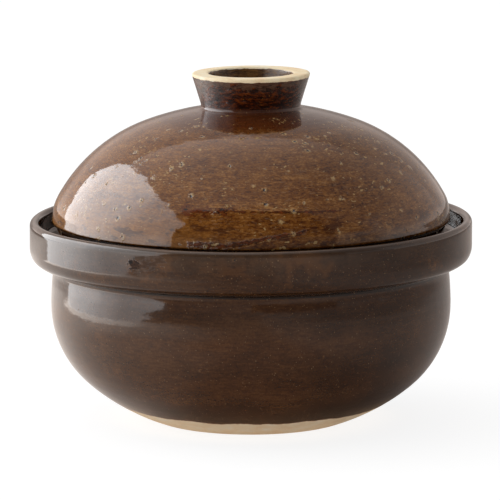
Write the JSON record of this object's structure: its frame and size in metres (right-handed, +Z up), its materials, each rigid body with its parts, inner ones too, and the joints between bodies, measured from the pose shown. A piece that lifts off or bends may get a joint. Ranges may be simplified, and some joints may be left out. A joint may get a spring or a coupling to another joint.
{
  "type": "clay smoker pot",
  "caption": "Round clay pot with a thick rim band and water gutter, domed lid with a hollow ring knob, and stacked round wire racks inside, for smoking food on a stove.",
  "frame": {"origin": "on the ground at the pot's own axis, the centre of the foot that it stands on", "axes": "+Z up along the turned axis of pot and lid; X runs along the rack bars and Y along their support wires; the picture looks along +Y"},
  "size_m": [0.315, 0.315, 0.2473],
  "materials": {
    "pot_glaze": "gloss",
    "lid_glaze": "gloss",
    "bare_clay": "matte",
    "rack_wire": "satin"
  },
  "bodies": {
    "pot": {"pot_body": "pot_glaze"},
    "lower_rack": {"lower_rack_rim": "rack_wire", "lower_rack_supports": "rack_wire", "lower_rack_bars": "rack_wire", "lower_rack_legs": "rack_wire"},
    "middle_rack": {"middle_rack_rim": "rack_wire", "middle_rack_supports": "rack_wire", "middle_rack_bars": "rack_wire", "middle_rack_legs": "rack_wire"},
    "top_rack": {"top_rack_rim": "rack_wire", "top_rack_supports": "rack_wire", "top_rack_bars": "rack_wire", "top_rack_legs": "rack_wire"},
    "lid": {"lid": "lid_glaze"}
  },
  "joints": [
    {"name": "lower_rack_lift", "type": "slide", "parent": "pot", "child": "lower_rack", "axis": [0, 0, 1], "range_m": [0, 0.15]},
    {"name": "middle_rack_lift", "type": "slide", "parent": "lower_rack", "child": "middle_rack", "axis": [0, 0, 1], "range_m": [0, 0.1]},
    {"name": "top_rack_lift", "type": "slide", "parent": "middle_rack", "child": "top_rack", "axis": [0, 0, 1], "range_m": [0, 0.08]},
    {"name": "lid_lift", "type": "slide", "parent": "top_rack", "child": "lid", "axis": [0, 0, 1], "range_m": [0, 0.16]}
  ]
}
